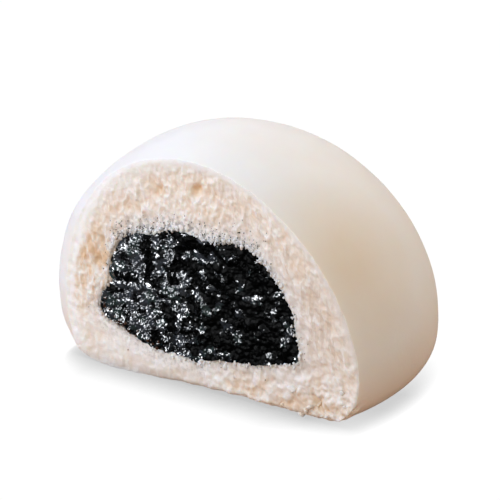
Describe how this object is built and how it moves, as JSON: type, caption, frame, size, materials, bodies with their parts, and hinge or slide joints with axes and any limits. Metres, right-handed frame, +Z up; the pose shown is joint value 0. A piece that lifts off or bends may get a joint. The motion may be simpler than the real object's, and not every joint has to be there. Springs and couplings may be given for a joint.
{
  "type": "halved steamed sesame bun",
  "caption": "Cut steamed white bun: a soft rounded dome of spongy dough on a flat base, with a thick lump of black sesame paste showing at the cut face.",
  "frame": {"origin": "bottom centre of the bun's box, on the surface that the bun rests on", "axes": "+X along the cut face, to the right for someone who looks at the cut face; +Y from the cut face back into the bun; +Z up"},
  "size_m": [0.0742, 0.0562, 0.0483],
  "materials": {
    "steamed_dough": "satin",
    "sesame_paste": "gloss"
  },
  "bodies": {
    "root": {"dough": "steamed_dough", "sesame_filling": "sesame_paste"}
  },
  "joints": []
}
